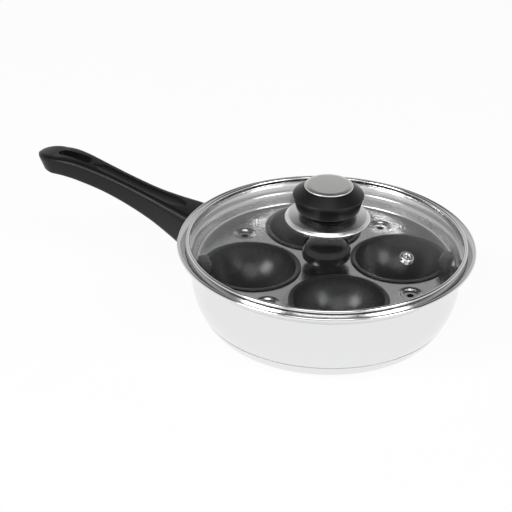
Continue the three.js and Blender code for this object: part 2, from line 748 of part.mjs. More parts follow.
function knobGasket() {
  const bottom = APEX_Z - GLASS_T;
  const seat = APEX_Z + GAP;
  const top = FLANGE_Z + FLANGE.rise - SHEET - GAP;
  const sleeve = [at(STUD.hole, bottom), at(GASKET_SLEEVE_R, bottom), at(GASKET_SLEEVE_R, seat)];
  return solid(turned([...sleeve, at(GASKET_R, seat), at(GASKET_R, top), at(STUD.hole, top)], SMALL_SIDES));
}

function washerUnder(height) {
  return solid(ring(STUD.hole, WASHER.outer, height - WASHER.thick, height, SMALL_SIDES));
}

// Assembly

function assembledPan() {
  const pan = new THREE.Group();
  const envelope = panEnvelope();
  pan.add(
    piece('pan_shell', panShell(), STEEL),
    piece('base_core', baseCore(), ALUMINIUM),
    piece('base_cap', baseCap(), STEEL),
    piece('handle', handle(envelope), PHENOLIC),
    piece('handle_bracket', handleBracket(envelope), STEEL),
    piece('handle_screw', handleScrew(), STEEL),
  );
  return pan;
}

function assembledCup(index) {
  const name = `cup_${index + 1}`;
  const group = new THREE.Group();
  group.add(
    piece(name, cup(), NON_STICK),
    piece(`${name}_grip`, grip(), GLOSS_BLACK),
    piece(`${name}_rivet`, rivetBody(0, 0), STEEL),
  );
  const angle = quarterAngle(FIRST_CUP_ANGLE, index);
  const seat = round(SEAT_CIRCLE_R, angle);
  group.position.set(seat.x, seat.y, GAP);
  group.rotation.z = angle + THREE.MathUtils.degToRad(CUP_TURNS[index]);
  return group;
}

function assembledTray() {
  const group = new THREE.Group();
  const washerTop = -SHEET - GAP;
  const headTop = washerTop - WASHER.thick - GAP;
  const knob = piece('tray_knob', trayKnob(), GLOSS_BLACK);
  const bush = piece('tray_knob_insert', insert(INSERT.start), BRASS);
  knob.position.z = GAP;
  bush.position.z = GAP;
  group.add(
    piece('tray', tray(), STEEL),
    knob,
    bush,
    piece('tray_knob_screw', stud(headTop, STUD.long), STEEL),
    piece('tray_knob_washer', washerUnder(washerTop), STEEL),
  );
  for (let index = 0; index < QUARTERS; index += 1) group.add(assembledCup(index));
  group.position.z = TRAY_Z;
  return group;
}

function assembledLid() {
  const group = new THREE.Group();
  const knob = new THREE.Group();
  const cap = piece('knob_cap', knobCap(), BRUSHED);
  cap.position.z = KNOB_TOP.up;
  const knobInsert = piece('knob_insert', insert(INSERT.start), BRASS);
  knob.add(piece('knob_body', knobBody(), PHENOLIC), cap, knobInsert);
  knob.position.z = KNOB_Z;
  const washerTop = domeZ(WASHER.outer) - GLASS_T - GAP;
  const headTop = washerTop - WASHER.thick - GAP;
  group.add(
    piece('lid_rim', lidRim(), STEEL),
    piece('lid_glass', lidGlass(), GLASS),
    piece('vent_eyelet', ventEyelet(), STEEL),
    piece('knob_flange', knobFlange(), STEEL),
    piece('knob_gasket', knobGasket(), SILICONE),
    piece('knob_washer', washerUnder(washerTop), STEEL),
    piece('knob_screw', stud(headTop, KNOB_Z + STUD.long), STEEL),
    knob,
  );
  group.position.z = LID_Z;
  return group;
}

const poacher = new THREE.Group();
poacher.add(assembledPan(), assembledTray(), assembledLid());

export default poacher;
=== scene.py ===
# %% [markdown]
# # An egg poacher pan
#
# This lesson dresses a finished CAD model of a small egg poacher pan. The pan is polished steel with a
# moulded handle. A pressed tray hangs in it and carries four dark cups, and a glass lid with a steel
# band covers them. The CAD model gives the places and the sizes. Here each piece that shows is modelled
# again with smooth curves and rolled edges, and gets a finish that holds up in a close view.

import math

import bpy
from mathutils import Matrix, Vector


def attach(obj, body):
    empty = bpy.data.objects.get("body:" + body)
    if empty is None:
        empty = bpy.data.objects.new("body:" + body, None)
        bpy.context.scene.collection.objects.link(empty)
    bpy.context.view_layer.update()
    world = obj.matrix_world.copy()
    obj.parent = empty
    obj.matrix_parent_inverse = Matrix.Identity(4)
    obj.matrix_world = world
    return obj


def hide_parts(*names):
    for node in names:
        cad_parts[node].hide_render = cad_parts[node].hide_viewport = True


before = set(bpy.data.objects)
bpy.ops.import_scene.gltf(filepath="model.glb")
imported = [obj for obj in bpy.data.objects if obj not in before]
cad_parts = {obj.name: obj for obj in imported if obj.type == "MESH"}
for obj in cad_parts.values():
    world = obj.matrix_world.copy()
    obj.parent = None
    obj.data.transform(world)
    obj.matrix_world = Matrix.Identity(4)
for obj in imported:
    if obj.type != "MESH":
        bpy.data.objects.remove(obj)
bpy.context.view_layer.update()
MM = 0.001

# %% [markdown]
# ## The view
#
# The camera comes first, because every later choice is judged through it. It stands to the front and
# right of the pan and looks down on it by about thirty degrees. The lens is long, so the rim of the
# pan shows as a nearly true ellipse.

# %% Camera
CAMERA_PLACE = (0.53491, -1.14711, 0.75071)
CAMERA_TURN = (60.8727, -1.0999, 27.8451)
CAMERA_LENS = 144.541

camera_data = bpy.data.cameras.new("camera")
camera_data.lens = CAMERA_LENS
camera_data.sensor_width = 36
camera = bpy.data.objects.new("camera", camera_data)
bpy.context.scene.collection.objects.link(camera)
camera.location = CAMERA_PLACE
camera.rotation_euler = [math.radians(angle) for angle in CAMERA_TURN]
bpy.context.scene.camera = camera
bpy.context.scene.view_settings.view_transform = "Standard"
print("camera at", [round(value, 3) for value in camera.location])

# %% [markdown]
# ## Tools for turned pieces
#
# Most pieces here are made on a lathe or spun from sheet, so half a cross-section says all about them.
# A line is drawn by extruding one point along the section, and spinning it once round the upright axis
# gives the piece. Corners are swept as short curves, since no real metal edge is perfectly sharp and
# a swept edge catches a thin line of light.

# %% Helpers for lines


def swept(corners, steps=5):
    """Turns (radius, height, softness) corners into points, each soft corner as a short curve."""
    line = []
    for index, corner in enumerate(corners):
        here = Vector(corner[:2])
        softness = corner[2] if len(corner) > 2 else 0
        if not softness:
            line.append(here)
            continue
        before = Vector(corners[index - 1][:2])
        after = Vector(corners[index + 1][:2])
        start = here + (before - here).normalized() * softness
        end = here + (after - here).normalized() * softness
        for step in range(steps + 1):
            share = step / steps
            line.append(start.lerp(here, share).lerp(here.lerp(end, share), share))
    return line


def arc(centre, radius, start, end, steps):
    """Points on a circle of the section, from one angle to another, in degrees."""
    line = []
    for step in range(steps + 1):
        angle = math.radians(start + (end - start) * step / steps)
        line.append(Vector((centre[0] + radius * math.cos(angle), centre[1] + radius * math.sin(angle))))
    return line


def beside(line, distance):
    """The same line moved sideways, to the left of its direction, as the other face of a sheet."""
    moved = []
    for index, point in enumerate(line):
        before = line[max(index - 1, 0)]
        after = line[min(index + 1, len(line) - 1)]
        along = (after - before).normalized()
        moved.append(point + Vector((-along.y, along.x)) * distance)
    return moved


def raised(line, height):
    """The same line at another height."""
    return [point + Vector((0, height)) for point in line]


print("a swept corner has", len(swept([(0, 0), (1, 0, 0.2), (1, 1)])), "points")

# %% Helpers for turned pieces


def nothing_selected():
    """Leaves edit mode and clears the selection."""
    if bpy.context.object and bpy.context.object.mode != "OBJECT":
        bpy.ops.object.mode_set(mode="OBJECT")
    bpy.ops.object.select_all(action="DESELECT")


def only(piece):
    """Makes a piece the one that is selected and active."""
    nothing_selected()
    piece.select_set(True)
    bpy.context.view_layer.objects.active = piece


def started(name):
    """A new piece in edit mode that is one point: a small plane with its corners merged."""
    nothing_selected()
    bpy.ops.mesh.primitive_plane_add(size=MM, location=(0, 0, 0))
    piece = bpy.context.object
    piece.name = name
    piece.data.name = name
    bpy.ops.object.mode_set(mode="EDIT")
    bpy.ops.mesh.select_mode(type="VERT")
    bpy.ops.mesh.select_all(action="SELECT")
    bpy.ops.mesh.merge(type="CENTER")
    return piece


def drawn(name, line):
    """A piece in edit mode whose line follows points of (radius, height) in millimetres."""
    piece = started(name)
    bpy.ops.transform.translate(value=(line[0].x * MM, 0, line[0].y * MM))
    for before, after in zip(line, line[1:]):
        step = (after - before) * MM
        bpy.ops.mesh.extrude_region_move(TRANSFORM_OT_translate={"value": (step.x, 0, step.y)})
    return piece


def picked(piece, test):
    """Selects only the points for which the test holds, and stays in edit mode."""
    bpy.ops.object.mode_set(mode="EDIT")
    bpy.ops.mesh.select_mode(type="VERT")
    bpy.ops.mesh.select_all(action="DESELECT")
    bpy.ops.object.mode_set(mode="OBJECT")
    for vertex in piece.data.vertices:
        vertex.select = test(vertex.co)
    bpy.ops.object.mode_set(mode="EDIT")


def closed(piece, sharp=35):
    """Merges doubles, turns the faces outwards and smooths all but the sharp edges."""
    bpy.ops.mesh.select_all(action="SELECT")
    bpy.ops.mesh.remove_doubles(threshold=MM / 200)
    bpy.ops.mesh.normals_make_consistent(inside=False)
    bpy.ops.object.mode_set(mode="OBJECT")
    bpy.ops.object.shade_smooth_by_angle(angle=math.radians(sharp))
    return piece


def turned(name, line, sides=144):
    """A turned piece from its section's points. A closed section ends where it starts."""
    piece = drawn(name, line)
    bpy.ops.mesh.select_all(action="SELECT")
    bpy.ops.mesh.spin(steps=sides, angle=math.tau, center=(0, 0, 0), axis=(0, 0, 1))
    return closed(piece)


print("sections are drawn in millimetres, each", MM, "m long")

# %% Helpers for whole pieces


def placed(piece, place, turn=(0, 0, 0)):
    """Turns a piece by degrees, moves it by millimetres, and writes both into its mesh."""
    only(piece)
    piece.location = Vector(place) * MM
    piece.rotation_euler = [math.radians(angle) for angle in turn]
    bpy.ops.object.transform_apply(location=True, rotation=True, scale=True)


def shaped(piece, kind, **settings):
    """Adds a modifier with these settings and applies it."""
    only(piece)
    modifier = piece.modifiers.new(kind, kind)
    for setting, value in settings.items():
        setattr(modifier, setting, value)
    bpy.ops.object.modifier_apply(modifier=modifier.name)


def cut(piece, cutter):
    """Takes the cutter's shape out of the piece and removes the cutter."""
    shaped(piece, "BOOLEAN", operation="DIFFERENCE", solver="EXACT", object=cutter)
    bpy.data.objects.remove(cutter)


def smoothed(piece, sharp):
    """Closes a piece again after its modifiers."""
    only(piece)
    bpy.ops.object.mode_set(mode="EDIT")
    return closed(piece, sharp)


def dress(piece, body, nodes):
    """Says what the piece moves with and which CAD nodes it stands for."""
    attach(piece, body)
    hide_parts(*nodes)
    print(piece.name, "faces:", len(piece.data.polygons))


# %% [markdown]
# ## The pan
#
# The body is drawn from one disc of steel about 0.8 mm thick. Its foot curves up into a straight wall,
# a crease at the top of the wall starts the flare, and the edge is rolled outwards into a bead. The
# underside has a raised disc of aluminium under a thin steel cap, so a fine dark seam runs round the
# foot. Drawing the whole section as one closed line gives both faces of the sheet at once.

# %% Pan body
WALL_R, WALL_TOP = 94.8, 47.6
FOOT_R, FOOT_TOP = 82.0, 34.6
SHEET = 0.8
FLARE_BEND = (98.58, 51.83)
BEAD_CENTRE, BEAD_R = (103.6, 56.6), 1.4
BEAD_START, BEAD_END = 200, 495
RIM_R = BEAD_CENTRE[0] + BEAD_R
SEAM_TOP, SEAM_BOTTOM = 9.7, 9.1
BODY_BOTTOM = 6.4
CREASE = 1.2
PAN_SIDES = 192


def foot_line(bottom, top, steps):
    """Outside of the foot between two heights: a curve that ends upright at the wall."""
    line = []
    for step in range(steps + 1):
        height = bottom + (top - bottom) * step / steps
        line.append(Vector((WALL_R - (WALL_R - FOOT_R) * (1 - height / FOOT_TOP) ** 2, height)))
    return line


def flare_line(steps):
    """Outside from the crease up to the bead, bowed outwards a little."""
    start, bend = Vector((WALL_R, WALL_TOP)), Vector(FLARE_BEND)
    end = arc(BEAD_CENTRE, BEAD_R, BEAD_START, BEAD_START, 1)[0]
    line = []
    for step in range(steps + 1):
        share = step / steps
        line.append(start.lerp(bend, share).lerp(bend.lerp(end, share), share))
    return line


wall = [*foot_line(SEAM_TOP, FOOT_TOP, 22), Vector((WALL_R, WALL_TOP - CREASE)), *flare_line(12)[1:-1]]
bead = arc(BEAD_CENTRE, BEAD_R, BEAD_START, BEAD_END, 26)
# The lowest points of the inner wall give way to the bend of the floor.
inner_wall = beside(wall, SHEET)[::-1][:-4]
floor_line = swept([(88.6, 13.4), (86.2, BODY_BOTTOM + SHEET, 5), (0, BODY_BOTTOM + SHEET)], 8)
under_line = [Vector((0, BODY_BOTTOM)), Vector((84.4, BODY_BOTTOM)), Vector((86.4, SEAM_TOP))]
pan_line = [*wall, *bead, *inner_wall, *floor_line[1:], *under_line, wall[0]]
pan_body = turned("pan_body", pan_line, PAN_SIDES)
dress(pan_body, "pan", ["pan_shell"])

# %% Cap of the base
cap_top = foot_line(0.6, SEAM_BOTTOM, 12)
cap_outside = [Vector((0, 0)), Vector((78, 0)), *arc((80.6, 1.6), 1.6, -90, -18, 6), *cap_top[3:]]
cap_inside = [Vector((86.9, SEAM_BOTTOM)), Vector((82.6, 1.6)), Vector((0, SHEET))]
base_disc = turned("base_disc", [*cap_outside, *cap_inside, Vector((0, 0))], PAN_SIDES)
dress(base_disc, "pan", ["base_cap"])

# %% [markdown]
# ## The handle
#
# The handle is moulded from heat-proof resin. It leaves the pan deep and wide, thins to a waist, rises,
# and widens again to a rounded end with a hanging slot. A rounded square is extruded from station to
# station, and each new end is scaled and turned as it goes, as one would by hand. The groove for the
# thumb and the slot are cut with booleans, because their edges cross the handle's own faces. A turned
# shape just larger than the pan trims the root, so it ends a hair's breadth outside the wall.

# %% Helper for lofted pieces


def lofted(name, sections, softness, draft, segments=6):
    """Extrudes a rounded square along X. A section is (x, top, width, depth, lean in degrees)."""
    nothing_selected()
    bpy.ops.mesh.primitive_plane_add(size=1, rotation=(0, math.pi / 2, 0))
    piece = bpy.context.object
    piece.name = name
    piece.data.name = name
    bpy.ops.object.transform_apply(location=True, rotation=True, scale=True)
    bpy.ops.object.mode_set(mode="EDIT")
    bpy.ops.mesh.select_all(action="SELECT")
    bpy.ops.mesh.bevel(affect="VERTICES", offset=softness, segments=segments, profile=0.5)
    picked(piece, lambda place: place.z < 0)
    bpy.ops.transform.resize(value=(1, draft, 1), center_override=(0, 0, 0))
    bpy.ops.mesh.select_all(action="SELECT")
    place, size, lean = Vector((0, 0, 0)), Vector((1, 1, 1)), 0
    for index, (x, top, width, depth, tilt) in enumerate(sections):
        aim = Vector((x, 0, top - depth / 2)) * MM
        new_size = Vector((1, width * MM, depth * MM))
        if index:
            bpy.ops.mesh.extrude_region_move(TRANSFORM_OT_translate={"value": aim - place})
        else:
            bpy.ops.transform.translate(value=aim)
        if lean:
            bpy.ops.transform.rotate(value=-math.radians(lean), orient_axis="Y", center_override=aim)
        scale = [new / old for new, old in zip(new_size, size)]
        bpy.ops.transform.resize(value=scale, center_override=aim)
        if tilt:
            bpy.ops.transform.rotate(value=math.radians(tilt), orient_axis="Y", center_override=aim)
        place, size, lean = aim, new_size, tilt
    return piece


print("lofted pieces start as a square of one metre and are scaled at each section")

# %% Handle
# Reach from the bead, rise over the wall, depth and width, going out.
STATIONS = [
    (-13, 7.7, 35.3, 35.2),
    (-4, 9.1, 32.7, 33.2),
    (7, 10.6, 28.8, 29),
    (19, 12.1, 24.6, 24.5),
    (35, 14.7, 20.3, 19.8),
    (55, 18.9, 17.4, 18),
    (75, 23.2, 16, 18.8),
    (95, 26.9, 15.8, 22.2),
    (107, 27.7, 15.2, 24.8),
    (116, 27, 14.6, 25.4),
]
HANDLE_DRAFT = 0.86
TIP_REACH, TIP_DROP, TIP_LEAN = 17.5, 3.4, 0.5
TIP_STEP, TIP_STEPS = 9.6, 9


def between(rows, share):
    """A smooth curve through all rows, read at a share of its length (Catmull and Rom's rule)."""
    spot = share * (len(rows) - 1)
    index = min(int(spot), len(rows) - 2)
    local = spot - index
    near = [rows[min(max(index + step, 0), len(rows) - 1)] for step in (-1, 0, 1, 2)]
    result = []
    for a, b, c, d in zip(*near):
        bend = 2 * a - 5 * b + 4 * c - d
        twist = 3 * b - a - 3 * c + d
        result.append((2 * b + (c - a) * local + bend * local**2 + twist * local**3) / 2)
    return result


def handle_sections(steps):
    """The handle's sections from the root to the rounded tip, whose end leans a little."""
    sections = []
    for step in range(steps + 1):
        reach, rise, depth, width = between(STATIONS, step / steps)
        sections.append((-RIM_R - reach, WALL_TOP + rise, width, depth, 0))
    x, top, width, depth, _ = sections[-1]
    for step in range(1, TIP_STEPS + 1):
        angle = math.radians(step * TIP_STEP)
        drop = TIP_DROP * (1 - math.cos(angle))
        lean = math.degrees(math.atan(TIP_LEAN * math.sin(angle)))
        short = depth - drop
        reach = TIP_REACH * math.sin(angle) - short / 2 * TIP_LEAN * math.sin(angle)
        sections.append((x - reach, top - drop, width * math.cos(angle), short, lean))
    return sections


handle = lofted("handle_grip", handle_sections(60), 0.2, HANDLE_DRAFT)
closed(handle, 40)
print("handle sections:", len(handle_sections(60)), "faces:", len(handle.data.polygons))

# %% Cutters for groove and slot
GROOVE_MIDDLE, GROOVE_HALF, GROOVE_DEEP, GROOVE_SHARE = 47, 39, 1.1, 0.56
SLOT_R, SLOT_BETWEEN, SLOT_INNER, SLOT_UP, SLOT_TALL = 4.3, 19.4, 92.3, 66, 60
GROOVE_LOOKUPS = 400


def share_at(reach):
    """The share of the handle's length at a reach, looked up in small steps."""
    shares = [step / (GROOVE_LOOKUPS - 1) for step in range(GROOVE_LOOKUPS)]
    return min(shares, key=lambda share: abs(between(STATIONS, share)[0] - reach))


def groove_sections(steps):
    """Sections of the thumb groove, which follows the handle's top and ends in half circles."""
    sections = []
    for step in range(1, steps):
        reach = GROOVE_MIDDLE - GROOVE_HALF * math.cos(math.pi * step / steps)
        share = share_at(reach)
        _, rise, _, width = between(STATIONS, share)
        taper = min(1, math.sqrt((GROOVE_HALF - abs(reach - GROOVE_MIDDLE)) * 2 / width))
        top = WALL_TOP + rise + GROOVE_DEEP
        sections.append((-RIM_R - reach, top, taper * GROOVE_SHARE * width, 2 * GROOVE_DEEP, 0))
    return sections


groove = closed(lofted("groove", groove_sections(40), 0.49, 1, 10), 60)
nothing_selected()
bpy.ops.mesh.primitive_cylinder_add(vertices=48, radius=SLOT_R * MM, depth=SLOT_TALL * MM)
slot = bpy.context.object
picked(slot, lambda place: place.x < -MM / 10)
bpy.ops.transform.translate(value=(-SLOT_BETWEEN * MM, 0, 0))
bpy.ops.mesh.select_all(action="SELECT")
bpy.ops.transform.translate(value=((-RIM_R - SLOT_INNER) * MM, 0, SLOT_UP * MM))
closed(slot)
cut(handle, groove)
cut(handle, slot)
soft_edge = {"width": 0.5 * MM, "segments": 3, "angle_limit": math.radians(50)}
shaped(handle, "BEVEL", limit_method="ANGLE", **soft_edge)
print("handle faces with its cuts:", len(handle.data.polygons))

# %% Trim of the root
ROOT_GAP, ROOT_ROOF = 0.3, 80
under_bead = arc(BEAD_CENTRE, BEAD_R + ROOT_GAP, 225, 360, 12)
trim_roof = [Vector((RIM_R + ROOT_GAP, ROOT_ROOF)), Vector((0, ROOT_ROOF))]
trim_line = [Vector((0, SEAM_TOP)), *beside(wall, -ROOT_GAP), *under_bead, *trim_roof]
cut(handle, turned("root_trim", trim_line, PAN_SIDES))
smoothed(handle, 40)
dress(handle, "pan", ["handle"])

# %% [markdown]
# ## The tray
#
# The tray is pressed from one sheet: flat on top, with a rim that turns up and rests on the pan's
# flare. Four round holes carry the cups, and four small dimples with a hole each let the steam through.
# The plain tray is turned, the holes are cut, and each dimple is a turned piece of its own that is
# joined to the sheet, because pressing a dimple out of a flat sheet would need a far finer mesh.

# %% Tray
TRAY_TOP = 41.5
QUARTER_TURNS = [0, 90, 180, 270]
CUP_CIRCLE_R, FIRST_CUP = 52.75, 36
DIMPLE_CIRCLE_R, FIRST_DIMPLE = 70.2, -8
CUP_HOLE_R, DIMPLE_HOLE_R, HOLE_TALL = 32.9, 9, 6
TRAY_LIP_R, TRAY_DEEP = 96.3, 10.1

tray_side = [(90.6, 0, 2.2), (92.4, 7.3, 1.6), (93.6, 9.1, 0.7)]
tray_top = swept([(2.1, 0), *tray_side, (TRAY_LIP_R, TRAY_DEEP)], 6)
tray_under = beside(tray_top, -SHEET)
tray_under[-1] = Vector((TRAY_LIP_R, TRAY_DEEP - SHEET))
tray = turned("tray_sheet", raised([*tray_top, *tray_under[::-1], tray_top[0]], TRAY_TOP), 160)


def on_circle(radius, degrees):
    """The place on a circle round the upright axis."""
    turn = math.radians(degrees)
    return Vector((radius * math.cos(turn), radius * math.sin(turn), 0))


def hole_cutter(radius, place, sides):
    """An upright cylinder through the tray's sheet."""
    nothing_selected()
    size = {"radius": radius * MM, "depth": HOLE_TALL * MM}
    place = (place.x * MM, place.y * MM, TRAY_TOP * MM)
    bpy.ops.mesh.primitive_cylinder_add(vertices=sides, location=place, **size)
    return bpy.context.object


for turn in QUARTER_TURNS:
    cut(tray, hole_cutter(CUP_HOLE_R, on_circle(CUP_CIRCLE_R, FIRST_CUP + turn), 96))
    cut(tray, hole_cutter(DIMPLE_HOLE_R, on_circle(DIMPLE_CIRCLE_R, FIRST_DIMPLE + turn), 48))
print("tray faces:", len(tray.data.polygons))

# %% Dimples
dimple_top = swept([(2.6, -2.0), (5.6, -2.0, 1.2), (7.9, 0, 1.1), (DIMPLE_HOLE_R + 0.05, 0)], 5)
dimple_line = [*dimple_top, *raised(dimple_top[::-1], -SHEET), dimple_top[0]]
dimple = turned("dimple", raised(dimple_line, TRAY_TOP), 48)


def copies(piece, seats):
    """Copies a piece made at the middle to each seat, given as (place, turn)."""
    made = []
    for number, (place, turn) in enumerate(seats):
        only(piece)
        bpy.ops.object.duplicate(linked=False)
        copy = bpy.context.object
        copy.name = copy.data.name = f"{piece.name}_{number + 1}"
        placed(copy, place, (0, 0, turn))
        made.append(copy)
    bpy.data.objects.remove(piece)
    return made


def join(piece, others):
    """Makes other pieces part of this one."""
    only(piece)
    for other in others:
        other.select_set(True)
    bpy.ops.object.join()


dimple_seats = [(on_circle(DIMPLE_CIRCLE_R, FIRST_DIMPLE + turn), 0) for turn in QUARTER_TURNS]
join(tray, copies(dimple, dimple_seats))
dress(tray, "tray_set", ["tray"])

# %% Knob of the tray
PIECE_GAP = 0.3

ball_foot = [(0, 0), (10.5, 0, 0.4), (10.2, 2.2, 1.6)]
ball_belly = [(16.4, 3.4, 4.2), (17.4, 10.4, 5.2), (14.8, 16.3, 5.6), (0, 16.4)]
ball_line = swept([*ball_foot, *ball_belly], 9)
tray_knob = turned("tray_ball", raised(ball_line, TRAY_TOP + PIECE_GAP), 96)
dress(tray_knob, "tray_set", ["tray_knob"])

# %% [markdown]
# ## The cups
#
# Each cup is a bowl drawn from thin sheet with a flat flange and a dark non-stick coat. A tab on the
# flange carries a small black grip, held by a rivet. One cup is modelled at the middle and copied to
# its four seats, where each is turned a little differently, as they fall when someone sets them in.

# %% Cup
CUP_BASE = TRAY_TOP + PIECE_GAP
MOUTH_R, CUP_FLANGE_R, CUP_DEEP = 31.4, 34.75, 25.0
CUP_EDGE_R = SHEET / 2
TAB_LONG, TAB_WIDE, TAB_MIDDLE = 3.6, 12, 34.4

bowl_r = MOUTH_R + SHEET
sphere_r = (bowl_r**2 + CUP_DEEP**2) / (2 * CUP_DEEP)
widest = math.degrees(math.asin(bowl_r / sphere_r))
outside = arc((0, sphere_r - CUP_DEEP), sphere_r, -90, widest - 91.5, 22)
inside = arc((0, sphere_r - CUP_DEEP), sphere_r - SHEET, -90, widest - 92.5, 22)
flange_edge = arc((CUP_FLANGE_R - CUP_EDGE_R, CUP_EDGE_R), CUP_EDGE_R, -90, 90, 6)
outer_edge = [Vector((bowl_r + 0.7, 0)), *flange_edge]
lip_edge = [Vector((bowl_r + 0.9, SHEET)), Vector((bowl_r, SHEET - 0.12))]
inner_edge = [*lip_edge, Vector((MOUTH_R - 0.1, SHEET - 0.7))]
cup_line = raised([*outside, *outer_edge, *inner_edge, *inside[::-1]], CUP_BASE)
cup = turned("cup_bowl", cup_line, 128)


def block(name, size, place):
    """A box in edit mode, with all of it selected."""
    nothing_selected()
    bpy.ops.mesh.primitive_cube_add(size=1, location=Vector(place) * MM)
    piece = bpy.context.object
    piece.name = piece.data.name = name
    piece.scale = Vector(size) * MM
    bpy.ops.object.transform_apply(location=True, rotation=True, scale=True)
    bpy.ops.object.mode_set(mode="EDIT")
    bpy.ops.mesh.select_all(action="SELECT")
    return piece


tab = block("tab", (TAB_LONG, TAB_WIDE, SHEET), (TAB_MIDDLE, 0, CUP_BASE + SHEET / 2))
bpy.ops.mesh.bevel(offset=0.3 * MM, segments=3)
closed(tab)
join(cup, [tab])
print("cup faces:", len(cup.data.polygons))

# %% Grip
GRIP_R, GRIP_LONG, GRIP_WIDE, GRIP_TALL = 33.4, 8.4, 16, 8.8
GRIP_TOP_SHARES = (0.8, 0.86, 1)

grip = block("cup_tongue", (GRIP_LONG, GRIP_WIDE, GRIP_TALL), (0, 0, 0))
bpy.ops.mesh.subdivide(number_cuts=1)
picked(grip, lambda place: place.z > GRIP_TALL / 4 * MM)
bpy.ops.transform.resize(value=GRIP_TOP_SHARES, center_override=(0, 0, GRIP_TALL / 2 * MM))
placed(grip, (GRIP_R, 0, CUP_BASE + SHEET + PIECE_GAP + GRIP_TALL / 2))
shaped(grip, "BEVEL", width=1.1 * MM, segments=2, limit_method="ANGLE")
shaped(grip, "SUBSURF", levels=2, render_levels=2)
smoothed(grip, 50)
print("grip faces:", len(grip.data.polygons))

# %% Rivet
rivet_line = swept([(0, 0), (2.2, 0, 0.3), (1.3, 0.6), (1.3, 5.6, 0.2), (0, 5.6)], 3)
rivet = turned("cup_pin", raised(rivet_line, CUP_BASE), 32)
placed(rivet, (GRIP_R, 0, 0))
print("rivet faces:", len(rivet.data.polygons))

# %% Set the cups in
CUP_TURNS = [-30, 0, 8, -23]
seats = []
for quarter, turn in zip(QUARTER_TURNS, CUP_TURNS):
    angle = FIRST_CUP + quarter
    seats.append((on_circle(CUP_CIRCLE_R, angle), angle + turn))
cups = copies(cup, seats)
grips = copies(grip, seats)
rivets = copies(rivet, seats)
for number, (bowl, lug, pin) in enumerate(zip(cups, grips, rivets)):
    name = f"cup_{number + 1}"
    dress(bowl, f"egg_{name}", [name])
    dress(lug, f"egg_{name}", [f"{name}_grip"])
    dress(pin, f"egg_{name}", [f"{name}_rivet"])

# %% [markdown]
# ## The lid
#
# The lid is a dome of tempered glass, about two and a half millimetres thick, whose edge sits in a
# steel band. The band is rolled over the glass at the top and rests inside the bead of the pan. A
# small steel eyelet lines the steam vent. Glass and band are turned, and the eyelet is turned and then
# tipped square to the dome.

# %% Glass
GLASS_R, GLASS_T, DOME_RISE, APEX = 97.9, 2.6, 22.5, 79.76
GLASS_HOLE_R, GLASS_FLAT_R, DOME_STEPS = 4.7, 97.3, 40
LID_SIDES = 192


def dome(radius):
    """Height of the glass's upper face."""
    return APEX - DOME_RISE * (radius / GLASS_R) ** 2


dome_step = (GLASS_FLAT_R - GLASS_HOLE_R) / DOME_STEPS
radii = [GLASS_HOLE_R + dome_step * step for step in range(DOME_STEPS + 1)]
top_line = [Vector((radius, dome(radius))) for radius in radii]
edge_r = GLASS_T / 2
edge_line = arc((GLASS_R - edge_r, dome(GLASS_R - edge_r) - edge_r), edge_r, 60, -60, 8)
low_line = raised(top_line[::-1], -GLASS_T)
glass = turned("lid_dome", [*top_line[:-1], *edge_line, *low_line[1:], top_line[0]], LID_SIDES)
dress(glass, "lid", ["lid_glass"])

# %% Band
BAND_R, BAND_BASE = 99.0, 53.16
ROLL_R, ROLL_Z = 1.4, 59.26
BAND_SHEET = 0.56

roll = arc((BAND_R - ROLL_R, ROLL_Z), ROLL_R, 0, 190, 12)
band_outer = swept([(95.3, BAND_BASE), (BAND_R, BAND_BASE, 0.9), (BAND_R, 58.6)], 5)
band_top = [*band_outer, *roll[1:], Vector((96.15, 58.4))]
band_inner = beside(band_top, BAND_SHEET)
band = turned("lid_band", [*band_top, *band_inner[::-1], band_top[0]], LID_SIDES)
dress(band, "lid", ["lid_rim"])

# %% Eyelet of the vent
VENT_R, VENT_ANGLE = 66.3, -8.9
VENT_HOLE_R, VENT_SLEEVE_R, VENT_FLANGE_R = 2, 3.2, 5
VENT_LOW, VENT_UNDER, VENT_OVER = -3.85, -2.95, 0.35

low_flange = [(VENT_HOLE_R, VENT_LOW), (VENT_FLANGE_R, VENT_LOW, 0.3), (VENT_FLANGE_R, VENT_UNDER, 0.2)]
sleeve = [(VENT_SLEEVE_R, VENT_UNDER), (VENT_SLEEVE_R, VENT_OVER), (VENT_FLANGE_R, VENT_OVER, 0.2)]
rounded_top = [(4.6, 1.3, 0.5), (2.6, 1.3, 0.5), (VENT_HOLE_R, 0.3, 0.4), (VENT_HOLE_R, VENT_LOW)]
eyelet = turned("vent_ring", swept([*low_flange, *sleeve, *rounded_top], 4), 48)
slope = math.degrees(math.atan(2 * DOME_RISE * VENT_R / GLASS_R**2))
placed(eyelet, (VENT_R, 0, dome(VENT_R)), (0, slope, 0))
placed(eyelet, (0, 0, 0), (0, 0, VENT_ANGLE))
dress(eyelet, "lid", ["vent_eyelet"])

# %% [markdown]
# ## The knob of the lid
#
# A bright steel flange spreads the knob's load on the glass. The knob itself is black resin. It widens
# from a flat foot to a belly with a thin groove under its widest edge, narrows again above it, and a
# brushed steel cap closes its top.

# %% Flange, knob and cap
FLANGE_BASE, KNOB_BASE, CAP_BASE = 77.97, 83.67, 102.37
KNOB_SIDES = 144

flange_top = swept([(29.9, 0), (29.9, 0.6, 0.3), (27.5, 2.7, 0.7), (16.6, 5.4, 0.8), (2.2, 5.4)], 5)
flange_low = beside(flange_top, SHEET)
flange_low[0] = Vector((29.1, 0))
flange_line = raised([*flange_top, *flange_low[::-1], flange_top[0]], FLANGE_BASE)
flange = turned("knob_plate", flange_line, KNOB_SIDES)
dress(flange, "lid", ["knob_flange"])

